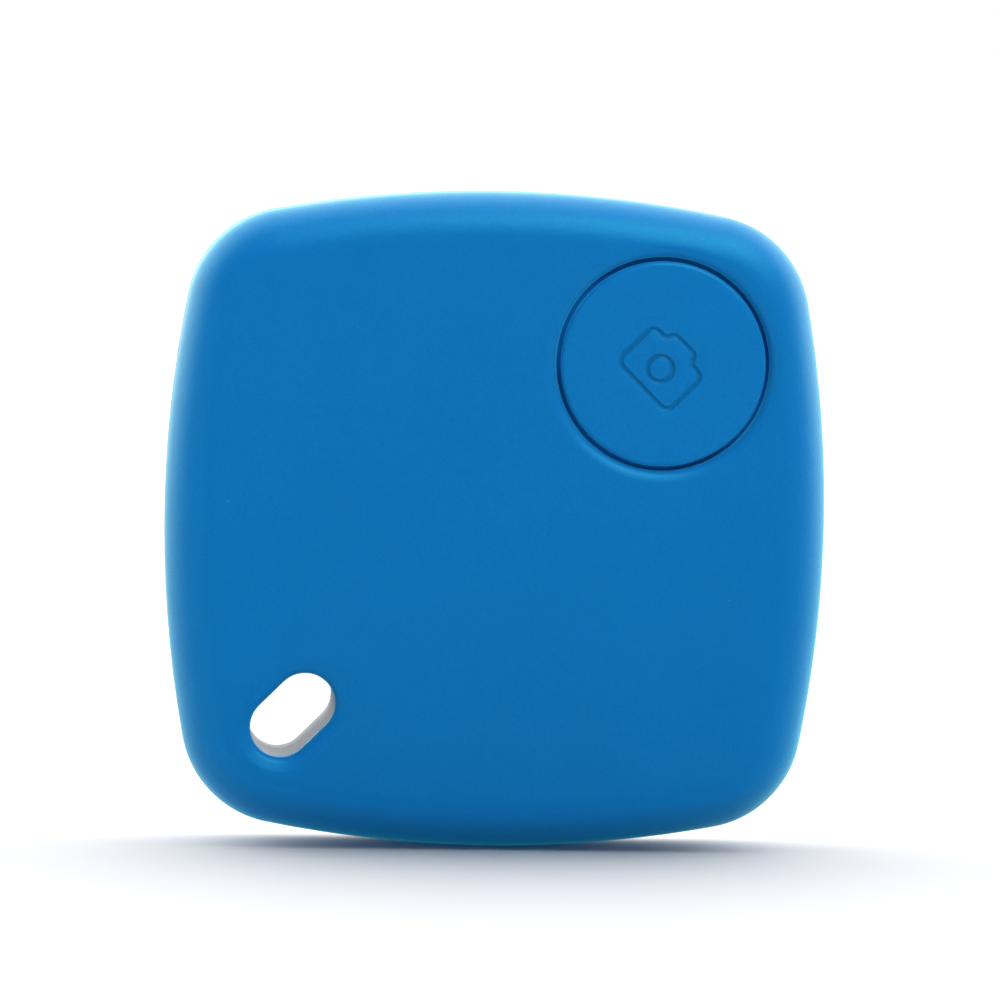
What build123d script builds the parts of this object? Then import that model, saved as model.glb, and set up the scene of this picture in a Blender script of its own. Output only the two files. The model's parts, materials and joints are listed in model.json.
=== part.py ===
from build123d import *
import math
import os

# Bluetooth tracker tag: a square tag with bowed sides, a push button and a key-ring slot.
#
# Frame: the tag stands upright. +X is to the right and +Z is up, seen from the front, and the
# front faces -Y. The origin is the middle of the tag's width, height and thickness.
#
# Every piece is drawn lying on its back: x to the right, y up the face and z out of the front.
# stand_up() turns it upright when it is written. All sizes are in millimetres.

# ---- Driving dimensions ----------------------------------------------------------------------

WIDTH = 38.0
HEIGHT = 37.7
THICKNESS = 7.6
SIDE_RADIUS = 68.7  # the four bowed sides
CORNER_RADIUS = 6.1

FRONT_ROUND = 2.75  # rounding between the front face and the sides
BACK_ROUND = 1.6
PARTING_DEPTH = 5.3  # from the front face to the seam between the blue and grey shells
SEAM = 0.06  # open seam between the two shells
GAP = 0.05  # assembly clearance between fixed pieces
TOUCH = 0.02  # clearance between pieces that rest on each other

FRONT_WALL = 1.1
SIDE_WALL = 1.15
BACK_WALL = 1.0
FRAME_WALL = 0.9
LIP_WALL = 0.8

SLOT_CENTRE = (-11.56, -11.24)
SLOT_WIDTH = 3.44
SLOT_LENGTH = 5.4
SLOT_ANGLE = 45
SLOT_WALL = 0.8
SLOT_FRONT_ROUND = 0.9
SLOT_BACK_ROUND = 0.5

BUTTON_CENTRE = (9.3, 9.24)
BUTTON_RADIUS = 5.88
BUTTON_HOLE_RADIUS = 6.12
BUTTON_RIM_ROUND = 0.6
BUTTON_EDGE_ROUND = 0.28
BUTTON_RECESS = 0.1  # the button's face below the front face
BUTTON_TRAVEL = 0.2
BUTTON_HOLLOW_RADIUS = 5.1
BUTTON_WALL = 0.9
BOSS_RADIUS = 1.0
FLANGE_RADIUS = 6.6
FLANGE_THICKNESS = 0.5
RIB_WIDTH = 1.0  # the two bars that stop the button turning
RIB_DEPTH = 0.5
RIB_ANGLES = (135, -45)

SYMBOL_LINE = 0.32
SYMBOL_DEPTH = 0.12
SYMBOL_OFFSET = (-0.18, -0.27)  # from the button's middle to the lens
SYMBOL_ANGLE = -45
LENS_RADIUS = 0.73

SWITCH_LENGTH = 3.9
SWITCH_WIDTH = 3.0
SWITCH_HEIGHT = 0.8
SWITCH_SHEET = 0.1
PLUNGER_RADIUS = 0.75
COLLAR_RADIUS = 1.2
COLLAR_THICKNESS = 0.1
DOME_RADIUS = 1.3
DOME_SHEET = 0.06
WELL_FLOOR = 0.2  # the floor under the dome

CELL_CENTRE = (0.6, 0.6)
CELL_RADIUS = 10.0
CELL_HEIGHT = 3.2
CELL_SKIN = 0.25
CELL_STEP = 0.2  # how far the can's rim and the cap's shoulder lie below the cap
GASKET_WALL = 0.4
HOLDER_SPACE = 0.25  # between the cell and its holder
HOLDER_WALL = 0.85
PEG_RADIUS = 0.4
PEG_ANGLES = (30, 150)
CONTACT_SHEET = 0.15
CONTACT_WIDTH = 3.0
LEAF_SHEET = 0.12
LEAF_HALF_WIDTH = 1.1

BOARD_THICKNESS = 0.6
CONTACT_SPACE = 0.4  # between the board's back and the cell

DOOR_RADIUS = 12.4
DOOR_TURN = 45  # degrees from locked to open
COIN_SLOT_LENGTH = 14.0
COIN_SLOT_WIDTH = 1.8
COIN_SLOT_DEPTH = 0.55
MARK_DEPTH = 0.15
MARK_REACH = 1.1  # from the door's edge to the marks on the back cover
DOT_RADIUS = 0.45
POINTER_LENGTH = 1.1
SPIGOT_INNER = 10.3
SPIGOT_OUTER = 11.2
LAND_RADIUS = 11.8  # the bore in the back cover that the seal presses on
SEAL_SECTION = 0.54
LUG_HEIGHT = 0.5
LUG_ANGLE = 30
LUG_PLACES = (90, 210, 330)
STOP_ANGLE = 4
HOOK_ANGLE = 40

SNAP_LENGTH = 3.0
SNAP_ALONG = 7.0  # from the middle of a side to a snap

BUZZER_CENTRE = (-6.2, 6.0)
BUZZER_RADIUS = 7.5
CERAMIC_RADIUS = 5.2
TAPE_WIDTH = 1.2
TAPE = 0.1
BRASS = 0.2
CERAMIC = 0.18
LEAD_RADIUS = 0.16
PAD_RED = (0.6, 0.4)
PAD_BLACK = (2.4, 1.2)

SCREW_PLACES = ((-13.0, 12.9), (13.0, -12.9), (-15.0, -3.6))
SCREW_RADIUS = 0.6
SCREW_HEAD_RADIUS = 1.1

# ---- Levels along z, worked out from the sizes above ----------------------------------------

FRONT = THICKNESS / 2
BACK = -THICKNESS / 2
PARTING = FRONT - PARTING_DEPTH
SKIN_BACK = FRONT - FRONT_WALL
PLATE_FRONT = BACK + BACK_WALL
CELL_BACK = PLATE_FRONT + GAP
CELL_FRONT = CELL_BACK + CELL_HEIGHT
BOARD_BACK = CELL_FRONT + CONTACT_SPACE
BOARD_FRONT = BOARD_BACK + BOARD_THICKNESS
LEDGE_FRONT = BOARD_FRONT + 0.45
HOOK_BACK = PLATE_FRONT + 0.65
HOOK_FRONT = HOOK_BACK + LUG_HEIGHT
LUG_BACK = HOOK_FRONT + GAP
LUG_FRONT = LUG_BACK + LUG_HEIGHT
FLANGE_FRONT = SKIN_BACK - GAP
FLANGE_BACK = FLANGE_FRONT - FLANGE_THICKNESS
SWITCH_TOP = BOARD_FRONT + SWITCH_HEIGHT
PLUNGER_TOP = SWITCH_TOP + BUTTON_TRAVEL + 0.06
BRASS_BACK = SKIN_BACK - TAPE - BRASS - 2 * TOUCH
CERAMIC_BACK = BRASS_BACK - TOUCH - CERAMIC

# The slot runs along the tag's diagonal, so this is how far its middle lies from the tag's.
SLOT_REACH = math.hypot(*SLOT_CENTRE)
CORNER_CUT = SLOT_REACH - SLOT_LENGTH / 2 - SLOT_WALL - 0.3


# ---- Shared shapes ---------------------------------------------------------------------------


def case_outline(inset=0.0):
    """The tag's outline, moved inwards by inset: four bowed sides and four corner arcs."""
    side_centre = WIDTH / 2 - SIDE_RADIUS
    top_centre = HEIGHT / 2 - SIDE_RADIUS
    # The corner arc's centre is SIDE_RADIUS - CORNER_RADIUS from both side arcs' centres.
    apart = math.hypot(side_centre, top_centre)
    climb = math.sqrt((SIDE_RADIUS - CORNER_RADIUS) ** 2 - (apart / 2) ** 2)
    corner_x = side_centre / 2 - climb * top_centre / apart
    corner_y = top_centre / 2 - climb * side_centre / apart
    low = math.atan2(corner_y, corner_x - side_centre)
    high = math.atan2(corner_y - top_centre, corner_x)
    radius = CORNER_RADIUS - inset

    def on_corner(angle, flip_x, flip_y):
        x = corner_x + radius * math.cos(angle)
        y = corner_y + radius * math.sin(angle)
        return (flip_x * x, flip_y * y)

    half_width = WIDTH / 2 - inset
    half_height = HEIGHT / 2 - inset
    edges = []
    for side in (1, -1):
        bowed = (on_corner(low, side, -1), (side * half_width, 0), on_corner(low, side, 1))
        edges.append(ThreePointArc(*bowed))
        bowed = (on_corner(high, -1, side), (0, side * half_height), on_corner(high, 1, side))
        edges.append(ThreePointArc(*bowed))
    for flip_x in (1, -1):
        for flip_y in (1, -1):
            bend = [on_corner(a, flip_x, flip_y) for a in (low, (low + high) / 2, high)]
            edges.append(ThreePointArc(*bend))
    return make_face(edges)


def slab(face, low, high):
    """A flat face thickened from z = low to z = high."""
    return Pos(0, 0, low) * extrude(face, high - low)


def disc(centre, radius, low, high):
    """A round slab."""
    return slab(Pos(*centre) * Circle(radius), low, high)


def ring(centre, inner, outer, low, high):
    """A round slab with a round hole."""
    return disc(centre, outer, low, high) - disc(centre, inner, low, high)


def block(x, y, length, width, low, high, angle=0):
    """A box of length by width round the place (x, y), turned by angle."""
    return Pos(x, y, 0) * Rot(0, 0, angle) * slab(Rectangle(length, width), low, high)


def together(pieces):
    """Separate solids in one node."""
    group = pieces[0]
    for piece in pieces[1:]:
        group = group + piece
    return group


def stadium(grow, low, high):
    """The key-ring slot's shape, made wider by grow all round."""
    shape = SlotOverall(SLOT_LENGTH + 2 * grow, SLOT_WIDTH + 2 * grow)
    return Pos(*SLOT_CENTRE, 0) * Rot(0, 0, SLOT_ANGLE) * slab(shape, low, high)


def case_ring(outer, inner, low, high):
    """A wall that follows the tag's outline, between two insets."""
    return slab(case_outline(outer) - case_outline(inner), low, high)


def sector(centre, inner, outer, middle, span, low, high):
    """Part of a round wall, span degrees wide, with its middle at the angle middle."""
    reach = 2 * outer
    half = math.radians(span / 2)
    tip = (reach * math.cos(half), reach * math.sin(half))
    wedge = Pos(*centre, 0) * Rot(0, 0, middle) * slab(
        make_face(Polyline((0, 0), tip, (tip[0], -tip[1]), close=True)), low, high
    )
    return ring(centre, inner, outer, low, high) & wedge


def edges_at(part, level, centre, reach):
    """The edges at the height level that lie within reach of centre."""
    close = []
    for edge in part.edges():
        middle = edge.position_at(0.5)
        flat = abs(middle.Z - level) < 1e-4 and abs(edge.position_at(0).Z - level) < 1e-4
        if flat and math.hypot(middle.X - centre[0], middle.Y - centre[1]) < reach:
            close.append(edge)
    return close


def beside_slot(low, high):
    """Everything on the slot's side of the board's cut corner."""
    far = CORNER_CUT + 10
    x = far * math.cos(math.radians(180 + SLOT_ANGLE))
    y = far * math.sin(math.radians(180 + SLOT_ANGLE))
    return block(x, y, 20, 60, low, high, SLOT_ANGLE)


# ---- Case ------------------------------------------------------------------------------------


def turn_ribs(width, depth, low, high):
    """Two bars at the button flange's edge that stop the button turning."""
    bars = []
    for angle in RIB_ANGLES:
        x = BUTTON_CENTRE[0] + (FLANGE_RADIUS - depth / 2) * math.cos(math.radians(angle))
        y = BUTTON_CENTRE[1] + (FLANGE_RADIUS - depth / 2) * math.sin(math.radians(angle))
        bars.append(block(x, y, depth + 0.4, width, low, high, angle))
    return bars


def front_cover():
    """Blue shell: the front face, its rounding and the sides down to the seam."""
    edge = PARTING + SEAM
    outer = slab(case_outline(), edge, FRONT)
    outer = fillet(outer.edges().group_by(Axis.Z)[-1], FRONT_ROUND)
    inner = slab(case_outline(SIDE_WALL), edge, SKIN_BACK)
    inner = fillet(inner.edges().group_by(Axis.Z)[-1], FRONT_ROUND - SIDE_WALL)
    shell = outer - inner - disc(BUTTON_CENTRE, BUTTON_HOLE_RADIUS, SKIN_BACK, FRONT)
    shell = shell - stadium(0, SKIN_BACK, FRONT)
    rim = edges_at(shell, FRONT, BUTTON_CENTRE, BUTTON_HOLE_RADIUS + 0.01)
    shell = fillet(rim, BUTTON_RIM_ROUND)
    mouth = edges_at(shell, FRONT, SLOT_CENTRE, SLOT_LENGTH)
    shell = fillet(mouth, SLOT_FRONT_ROUND)
    for bar in turn_ribs(RIB_WIDTH, RIB_DEPTH, FLANGE_BACK, SKIN_BACK):
        shell = shell + bar
    return shell


def snap_places(length):
    """Blocks that mark the eight snaps round the case wall."""
    side = WIDTH / 2 - 2
    places = []
    for across in (side, -side):
        for step in (SNAP_ALONG, -SNAP_ALONG):
            places.append(block(across, step, 4, length, BACK, FRONT))
            places.append(block(step, across, length, 4, BACK, FRONT))
    return places


def inner_frame():
    """Light grey frame under the blue shell, with the front part of the slot's tube."""
    wall = SIDE_WALL + GAP
    upper = 1.45  # clears the blue shell's inner rounding
    low = PARTING + SEAM
    frame = case_ring(wall, wall + FRAME_WALL, low, 1.0)
    frame = frame + case_ring(upper, wall + FRAME_WALL, 1.0, LEDGE_FRONT)
    ledge = slab(case_outline(upper), BOARD_FRONT + TOUCH, LEDGE_FRONT)
    opening = slab(case_outline(3.1), BOARD_FRONT + TOUCH, LEDGE_FRONT)
    ledge = ledge - (opening - beside_slot(BACK, FRONT))
    frame = frame + ledge
    for place in SCREW_PLACES:
        frame = frame + disc(place, 1.3, BOARD_FRONT + TOUCH, 2.4)
    for place in SCREW_PLACES:
        frame = frame - disc(place, SCREW_RADIUS + TOUCH, BOARD_FRONT, 2.2)
    tube = stadium(SLOT_WALL, low, SKIN_BACK - TOUCH)
    frame = frame + tube - stadium(0, BACK, FRONT)
    pocket = case_ring(wall + 0.6, wall + 1.1, -0.72, -0.18)
    for mark in snap_places(SNAP_LENGTH + 0.4):
        frame = frame - (pocket & mark)
    return frame


def back_cover():
    """Light grey back shell, with the back part of the slot and the battery opening."""
    shell = slab(case_outline(), BACK, PARTING)
    shell = fillet(shell.edges().group_by(Axis.Z)[0], BACK_ROUND)
    hollow = slab(case_outline(SIDE_WALL), PLATE_FRONT, PARTING)
    shell = shell - fillet(hollow.edges().group_by(Axis.Z)[0], 0.5)
    lip = SIDE_WALL + GAP + FRAME_WALL + GAP
    shell = shell + case_ring(lip, lip + LIP_WALL, PLATE_FRONT - GAP, 0.2)
    # The lip stands clear of the outer wall, and the gap between them takes the frame's edge.
    shell = shell + stadium(SLOT_WALL, BACK, PARTING)
    bead = case_ring(lip - 0.25, lip + 0.2, -0.65, -0.25)
    for mark in snap_places(SNAP_LENGTH):
        shell = shell + (bead & mark)
    shell = shell + disc(CELL_CENTRE, LAND_RADIUS + 0.95, PLATE_FRONT - GAP, LUG_FRONT)
    shell = shell - disc(CELL_CENTRE, DOOR_RADIUS + GAP, BACK, PLATE_FRONT)
    shell = shell - disc(CELL_CENTRE, LAND_RADIUS, PLATE_FRONT, LUG_FRONT)
    inner = SPIGOT_OUTER + GAP
    outer = LAND_RADIUS + 0.2
    stop_offset = (LUG_ANGLE + STOP_ANGLE) / 2 + 1
    for place in LUG_PLACES:
        hook = sector(CELL_CENTRE, inner, outer, place, HOOK_ANGLE, HOOK_BACK, HOOK_FRONT)
        shell = shell + hook
        for angle in (place + stop_offset, place - DOOR_TURN - stop_offset):
            low = HOOK_FRONT - GAP
            shell = shell + sector(CELL_CENTRE, inner, outer, angle, STOP_ANGLE, low, LUG_FRONT)
    shell = shell - stadium(0, BACK, FRONT)
    shell = fillet(edges_at(shell, BACK, SLOT_CENTRE, SLOT_LENGTH), SLOT_BACK_ROUND)
    mouth = edges_at(shell, BACK, CELL_CENTRE, DOOR_RADIUS + 0.2)
    shell = chamfer(mouth, 0.15)
    # A sunk dot marks the locked place of the door's pointer and a sunk ring the open place.
    locked, opened = [mark_place(90), mark_place(90 - DOOR_TURN)]
    shell = shell - disc(locked, DOT_RADIUS, BACK, BACK + MARK_DEPTH)
    return shell - ring(opened, DOT_RADIUS - 0.15, DOT_RADIUS + 0.05, BACK, BACK + MARK_DEPTH)


def mark_place(angle):
    """Where a mark for the door's pointer sits on the back cover."""
    reach = DOOR_RADIUS + MARK_REACH
    x = CELL_CENTRE[0] + reach * math.cos(math.radians(angle))
    y = CELL_CENTRE[1] + reach * math.sin(math.radians(angle))
    return (x, y)


# ---- Battery door ----------------------------------------------------------------------------


def battery_door():
    """Round bayonet door with a coin slot, three lugs and a pointer."""
    door = disc(CELL_CENTRE, DOOR_RADIUS, BACK, PLATE_FRONT)
    door = fillet(door.edges().group_by(Axis.Z)[0], 0.2)
    door = door + ring(CELL_CENTRE, SPIGOT_INNER, SPIGOT_OUTER, PLATE_FRONT - GAP, LUG_FRONT)
    for place in LUG_PLACES:
        outer = LAND_RADIUS - GAP
        lug = sector(CELL_CENTRE, SPIGOT_OUTER - 0.2, outer, place, LUG_ANGLE, LUG_BACK, LUG_FRONT)
        door = door + lug
    coin = SlotOverall(COIN_SLOT_LENGTH, COIN_SLOT_WIDTH)
    door = door - Pos(*CELL_CENTRE, BACK) * extrude(coin, COIN_SLOT_DEPTH)
    door = chamfer(edges_at(door, BACK, CELL_CENTRE, COIN_SLOT_LENGTH / 2 + 1), 0.2)
    x = CELL_CENTRE[0]
    tip = CELL_CENTRE[1] + DOOR_RADIUS - 0.7
    tail = tip - POINTER_LENGTH
    pointer = Polyline((x, tip), (x + 0.6, tail), (x - 0.6, tail), close=True)
    return door - slab(make_face(pointer), BACK, BACK + MARK_DEPTH)


def door_seal():
    """O-ring on the door's spigot."""
    middle = (SPIGOT_OUTER + LAND_RADIUS) / 2
    height = PLATE_FRONT + SEAL_SECTION / 2 + 0.04
    section = Plane.XZ * Pos(middle, height) * Circle(SEAL_SECTION / 2)
    return Pos(*CELL_CENTRE, 0) * revolve(section, Axis.Z)


# ---- Button and its switch -------------------------------------------------------------------


def camera_symbol():
    """The camera pictogram's lines: a body with a hump, and a round lens."""
    body = Polyline(
        (-2.05, -1.45),
        (2.05, -1.45),
        (2.05, 1.45),
        (1.1, 1.45),
        (0.78, 2.0),
        (-0.78, 2.0),
        (-1.1, 1.45),
        (-2.05, 1.45),
        close=True,
    )
    shape = make_face(body)
    outer = [v for v in shape.vertices() if abs(v.X) > 2]
    shape = fillet(outer, 0.5)
    joints = [v for v in shape.vertices() if abs(v.X) < 1.3]
    shape = fillet(joints, 0.28)
    half = SYMBOL_LINE / 2
    lines = offset(shape, half) - offset(shape, -half)
    lens = Circle(LENS_RADIUS + half) - Circle(LENS_RADIUS - half)
    return lines + lens


def button_cap():
    """Round blue button, hollow behind, with a flange and a boss that meets the plunger."""
    face = FRONT - BUTTON_RECESS
    cap = disc(BUTTON_CENTRE, BUTTON_RADIUS, FLANGE_BACK, face)
    cap = fillet(cap.edges().group_by(Axis.Z)[-1], BUTTON_EDGE_ROUND)
    cap = cap + disc(BUTTON_CENTRE, FLANGE_RADIUS, FLANGE_BACK, FLANGE_FRONT)
    cap = cap - disc(BUTTON_CENTRE, BUTTON_HOLLOW_RADIUS, FLANGE_BACK, face - BUTTON_WALL)
    cap = cap + disc(BUTTON_CENTRE, BOSS_RADIUS, PLUNGER_TOP + TOUCH, face - BUTTON_WALL)
    for notch in turn_ribs(RIB_WIDTH + 0.2, RIB_DEPTH + 0.1, FLANGE_BACK, FLANGE_FRONT):
        cap = cap - notch
    lens = (BUTTON_CENTRE[0] + SYMBOL_OFFSET[0], BUTTON_CENTRE[1] + SYMBOL_OFFSET[1])
    symbol = slab(camera_symbol(), face - SYMBOL_DEPTH, face)
    symbol = Pos(*lens, 0) * Rot(0, 0, SYMBOL_ANGLE) * symbol
    return cap - symbol


def switch_body():
    """Moulded base of the push switch, with the dome's well."""
    x, y = BUTTON_CENTRE
    top = SWITCH_TOP - SWITCH_SHEET - TOUCH
    body = block(x, y, SWITCH_LENGTH, SWITCH_WIDTH, BOARD_FRONT + TOUCH, top)
    return body - disc(BUTTON_CENTRE, DOME_RADIUS + GAP, BOARD_FRONT + WELL_FLOOR, SWITCH_TOP)


def switch_cover():
    """Pressed steel sheet that holds the plunger in the switch."""
    x, y = BUTTON_CENTRE
    length = SWITCH_LENGTH + 2 * (GAP + SWITCH_SHEET)
    sheet = block(x, y, length, SWITCH_WIDTH, SWITCH_TOP - SWITCH_SHEET, SWITCH_TOP)
    for side in (1, -1):
        across = x + side * (length - SWITCH_SHEET) / 2
        sheet = sheet + block(across, y, SWITCH_SHEET, 1.6, BOARD_FRONT + 0.1, SWITCH_TOP)
    return sheet - disc(BUTTON_CENTRE, PLUNGER_RADIUS + GAP, BOARD_FRONT, FRONT)


def switch_plunger():
    """The switch's moving stem, with the collar that holds it in."""
    collar = SWITCH_TOP - SWITCH_SHEET - TOUCH
    low = collar - COLLAR_THICKNESS
    stem = disc(BUTTON_CENTRE, PLUNGER_RADIUS, low, PLUNGER_TOP)
    stem = fillet(stem.edges().group_by(Axis.Z)[-1], 0.1)
    return stem + disc(BUTTON_CENTRE, COLLAR_RADIUS, low, collar)


def switch_dome():
    """Thin snap dome under the plunger: part of a hollow ball."""
    low = BOARD_FRONT + WELL_FLOOR + TOUCH
    rise = SWITCH_TOP - SWITCH_SHEET - COLLAR_THICKNESS - 2 * TOUCH - low
    ball = (DOME_RADIUS**2 + rise**2) / (2 * rise)
    middle = low + rise - ball
    shell = Sphere(ball) - Sphere(ball - DOME_SHEET)
    dome = Pos(*BUTTON_CENTRE, middle) * shell
    return dome & disc(BUTTON_CENTRE, 2 * DOME_RADIUS, low, low + 2 * rise)


# ---- Cell and contacts -----------------------------------------------------------------------


def turned(points, round_off=0.0):
    """A part turned on a lathe from (radius, z) points, about the cell's axis."""
    section = make_face(Polyline(*points, close=True))
    if round_off:
        widest = max(p[0] for p in points)
        corners = [v for v in section.vertices() if abs(v.X - widest) < 1e-6]
        section = fillet(corners, round_off)
    return Pos(*CELL_CENTRE, 0) * revolve(Plane.XZ * section, Axis.Z)


def coin_cell_can():
    """Positive steel can of the coin cell."""
    rim = CELL_FRONT - CELL_STEP - GAP
    wall = CELL_RADIUS - CELL_SKIN
    floor = CELL_BACK + CELL_SKIN
    points = [(0, CELL_BACK), (CELL_RADIUS, CELL_BACK), (CELL_RADIUS, rim), (wall, rim)]
    return turned(points + [(wall, floor), (0, floor)], 0.2)


def coin_cell_gasket():
    """Nylon ring between the can and the cap."""
    outer = CELL_RADIUS - CELL_SKIN - TOUCH
    low = CELL_BACK + CELL_SKIN + TOUCH
    return ring(CELL_CENTRE, outer - GASKET_WALL, outer, low, CELL_FRONT - CELL_STEP)


def coin_cell_cap():
    """Negative cap, with the cell's contents behind it."""
    outer = CELL_RADIUS - CELL_SKIN - GASKET_WALL - 2 * TOUCH
    low = CELL_BACK + CELL_SKIN + TOUCH
    shoulder = CELL_FRONT - CELL_STEP
    step = outer - 0.7
    points = [(0, low), (outer, low), (outer, shoulder), (step, shoulder)]
    return turned(points + [(step - 0.2, CELL_FRONT), (0, CELL_FRONT)])


def cell_holder():
    """Plastic ring on the board's back that locates the cell, open where the clip comes in."""
    inner = CELL_RADIUS + HOLDER_SPACE
    low = LUG_FRONT + 0.15
    holder = ring(CELL_CENTRE, inner, inner + HOLDER_WALL, low, BOARD_BACK - TOUCH)
    holder = holder - sector(CELL_CENTRE, inner - 1, inner + 2, -90, 24, BACK, FRONT)
    for angle in PEG_ANGLES:
        holder = holder + disc(holder_peg(angle), PEG_RADIUS, low + 0.3, BOARD_FRONT - 0.1)
    return holder


def holder_peg(angle):
    """Where one of the cell holder's pegs passes through the board."""
    reach = CELL_RADIUS + HOLDER_SPACE + HOLDER_WALL / 2
    x = CELL_CENTRE[0] + reach * math.cos(math.radians(angle))
    y = CELL_CENTRE[1] + reach * math.sin(math.radians(angle))
    return (x, y)


def positive_contact():
    """Sprung clip that bears on the side of the can."""
    x = CELL_CENTRE[0]
    inner = CELL_CENTRE[1] - CELL_RADIUS - 0.05
    sheet = CONTACT_SHEET
    top = BOARD_BACK - TOUCH
    foot = block(x, inner - CONTACT_WIDTH / 2, CONTACT_WIDTH, CONTACT_WIDTH, top - sheet, top)
    blade = block(x, inner - sheet / 2, CONTACT_WIDTH, sheet, CELL_FRONT - 2.0, top)
    return foot + blade


def negative_contact():
    """Bowed leaf on the board's back that bears on the cell's cap."""
    x, y = CELL_CENTRE
    sheet = LEAF_SHEET
    top = BOARD_BACK - TOUCH
    tip = CELL_FRONT + TOUCH
    line = [(-4.5, top), (-2.5, top), (1.0, tip + sheet), (1.8, tip + sheet), (2.6, top - 0.14)]
    back = [(u, v - sheet) for u, v in reversed(line)]
    side = Plane.XZ * make_face(Polyline(*line, *back, close=True))
    return Pos(x, y, 0) * extrude(side, LEAF_HALF_WIDTH, both=True)


def insulating_film():
    """Thin film on the board's back, cut away for the leaf contact."""
    film = disc(CELL_CENTRE, CELL_RADIUS, BOARD_BACK - 0.08, BOARD_BACK - TOUCH)
    return film - block(CELL_CENTRE[0] - 1.0, CELL_CENTRE[1], 8.4, 3.0, BACK, FRONT)


# ---- Circuit board ---------------------------------------------------------------------------


def circuit_board():
    """Glass-fibre board that fills the case, with one corner cut off for the slot."""
    inset = SIDE_WALL + GAP + FRAME_WALL + 0.1
    board = slab(case_outline(inset), BOARD_BACK, BOARD_FRONT)
    board = board - beside_slot(BACK, FRONT)
    for place in SCREW_PLACES:
        board = board - disc(place, SCREW_RADIUS + 0.1, BACK, FRONT)
    for angle in PEG_ANGLES:
        board = board - disc(holder_peg(angle), PEG_RADIUS + GAP, BACK, FRONT)
    return board


def chip(x, y, length, width, height):
    """A plain moulded or ceramic part on the board's front."""
    low = BOARD_FRONT + TOUCH
    body = block(x, y, length, width, low, low + height)
    return chamfer(body.edges().group_by(Axis.Z)[-1], 0.08)


def bluetooth_chip():
    """Radio chip, with a dimple at its first pin."""
    body = chip(4.0, -6.0, 6.0, 6.0, 0.85)
    return body - disc((1.8, -3.8), 0.35, BOARD_FRONT + 0.8, FRONT)


def main_crystal():
    """Metal can of the radio's crystal."""
    return chip(9.4, -5.2, 3.2, 2.5, 0.7)


def clock_crystal():
    """Metal can of the slow clock crystal."""
    return chip(9.4, -8.6, 3.2, 1.5, 0.75)


def chip_antenna():
    """Ceramic aerial at the board's lower edge."""
    return chip(4.0, -14.2, 6.0, 2.0, 1.0)


def boost_inductor():
    """Square coil that raises the voltage for the sounder."""
    return chip(-3.0, -9.2, 3.0, 3.0, 1.0)


def status_led():
    """Small light beside the button's switch."""
    return chip(9.3, 1.4, 1.6, 0.8, 0.4)


def driver_transistor():
    """Small transistor that drives the sounder, with three legs."""
    body = chip(-6.5, -6.5, 2.9, 1.3, 0.9)
    low = BOARD_FRONT + TOUCH
    for x, y in ((-7.45, -7.4), (-5.55, -7.4), (-6.5, -5.6)):
        body = body + block(x, y, 0.4, 0.8, low, low + 0.15)
    return body


def capacitors():
    """Small capacitors round the radio chip."""
    row = [(0.2, y) for y in (-8.4, -7.0, -5.6, -4.2)]
    column = [(x, -1.9) for x in (3.0, 4.5, 6.0)]
    return together([chip(x, y, 1.0, 0.5, 0.5) for x, y in row + column])


def resistors():
    """Small resistors near the transistor and the light."""
    places = [(-3.4, -4.2), (-3.4, -5.6), (-9.6, -5.2), (12.2, 1.4)]
    return together([chip(x, y, 1.0, 0.5, 0.35) for x, y in places])


def board_screws():
    """Three screws that hold the board to the frame, with crossed recesses."""
    screws = []
    for place in SCREW_PLACES:
        low = BOARD_BACK - TOUCH
        head = disc(place, SCREW_HEAD_RADIUS, low - 0.45, low)
        head = fillet(head.edges().group_by(Axis.Z)[0], 0.2)
        screw = head + disc(place, SCREW_RADIUS, low - 0.1, 2.1)
        for angle in (0, 90):
            screw = screw - block(*place, 1.2, 0.25, low - 0.5, low - 0.2, angle)
        screws.append(screw)
    return together(screws)


# ---- Sounder ---------------------------------------------------------------------------------


def buzzer_tape():
    """Adhesive ring that holds the sounder to the inside of the front."""
    top = SKIN_BACK - TOUCH
    return ring(BUZZER_CENTRE, BUZZER_RADIUS - TAPE_WIDTH, BUZZER_RADIUS, top - TAPE, top)


def buzzer_plate():
    """Brass disc of the sounder."""
    return disc(BUZZER_CENTRE, BUZZER_RADIUS, BRASS_BACK, BRASS_BACK + BRASS)


def buzzer_ceramic():
    """Piezo ceramic disc on the brass."""
    return disc(BUZZER_CENTRE, CERAMIC_RADIUS, CERAMIC_BACK, CERAMIC_BACK + CERAMIC)


def lead(start, end, level):
    """A soft wire from the sounder at the height level down to a pad on the board."""
    high = level - LEAD_RADIUS - TOUCH
    low = BOARD_FRONT + LEAD_RADIUS + TOUCH
    half_x = (start[0] + end[0]) / 2
    half_y = (start[1] + end[1]) / 2
    path = Spline((*start, high), (half_x, half_y, (high + low) / 2), (*end, low))
    section = Plane(origin=path @ 0, z_dir=path % 0) * Circle(LEAD_RADIUS)
    return sweep(section, path=path)


def buzzer_lead_red():
    """Wire from the ceramic to the board."""
    return lead((-3.4, 3.2), PAD_RED, CERAMIC_BACK)


def buzzer_lead_black():
    """Wire from the brass to the board."""
    return lead((-0.4, 3.6), PAD_BLACK, BRASS_BACK)


def solder_joints():
    """Solder pads that the two wires end at."""
    low = BOARD_FRONT + TOUCH
    spots = []
    for x, y in (PAD_RED, PAD_BLACK):
        spots.append(disc((x + 0.75, y - 0.5), 0.45, low, low + 0.25))
    return together(spots)


# ---- Output ----------------------------------------------------------------------------------


def stand_up(part):
    """Turn a part drawn on its back upright, so that its front faces -Y."""
    return Rot(90, 0, 0) * part


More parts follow.
